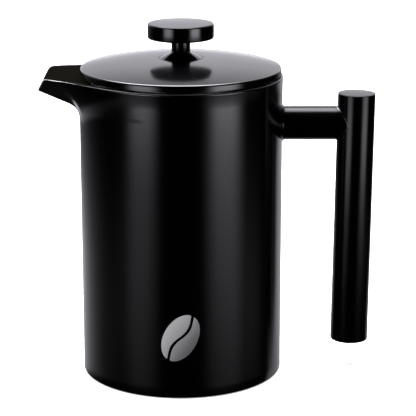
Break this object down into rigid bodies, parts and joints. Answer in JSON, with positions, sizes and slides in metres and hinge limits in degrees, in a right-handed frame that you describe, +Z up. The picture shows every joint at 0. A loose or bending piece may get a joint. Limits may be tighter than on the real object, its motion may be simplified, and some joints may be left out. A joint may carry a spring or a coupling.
{
  "type": "french press",
  "caption": "Black double-wall steel french press: straight carafe with V-shaped spout, vertical tube handle, domed drop-in lid and plunger with stacked mesh filter.",
  "frame": {"origin": "on the vessel's axis in the plane that the base stands on", "axes": "+Z up along the plunger, +X towards the handle, -X towards the spout, -Y the side turned to the viewer"},
  "size_m": [0.175, 0.1058, 0.185],
  "materials": {
    "black_coating": "satin black coating on steel",
    "lid_coating": "satin black coating, a little glossier",
    "handle_coating": "satin black coating",
    "knob_coating": "satin black coating",
    "hub_coating": "glossy black coating",
    "brushed_steel": "fine brushed stainless steel",
    "bright_steel": "polished stainless steel",
    "steel_mesh": "woven fine stainless wire cloth",
    "silicone": "matt silicone",
    "nylon": "moulded"
  },
  "bodies": {
    "carafe": {"outer_shell": "black_coating", "spout": "black_coating", "inner_vessel": "brushed_steel", "rim_ring": "bright_steel", "base_plate": "brushed_steel", "arm_collar": "handle_coating", "handle_arm": "handle_coating", "handle_grip": "handle_coating", "grip_top_cap": "handle_coating", "grip_bottom_cap": "handle_coating"},
    "seal_ring": {"lid_seal": "silicone"},
    "lid": {"lid_cover": "lid_coating", "lid_liner": "brushed_steel", "lid_hub": "hub_coating", "rod_bush": "nylon", "bush_nut": "brushed_steel"},
    "plunger": {"plunger_rod": "bright_steel", "knob_stem": "hub_coating", "knob": "knob_coating", "mesh_screen": "steel_mesh", "spiral_plate": "brushed_steel", "filter_spring": "bright_steel", "cross_plate": "brushed_steel", "filter_nut": "brushed_steel"}
  },
  "joints": [
    {"name": "lid_lift", "type": "slide", "parent": "carafe", "child": "seal_ring", "axis": [0, 0, 1], "range_m": [0, 0.16]},
    {"name": "lid_turn", "type": "hinge", "parent": "seal_ring", "child": "lid", "pos_m": [0, 0, 0.1587], "axis": [0, 0, 1], "continuous": true},
    {"name": "plunger_slide", "type": "slide", "parent": "lid", "child": "plunger", "axis": [0, 0, 1], "range_m": [0, 0.13]}
  ]
}
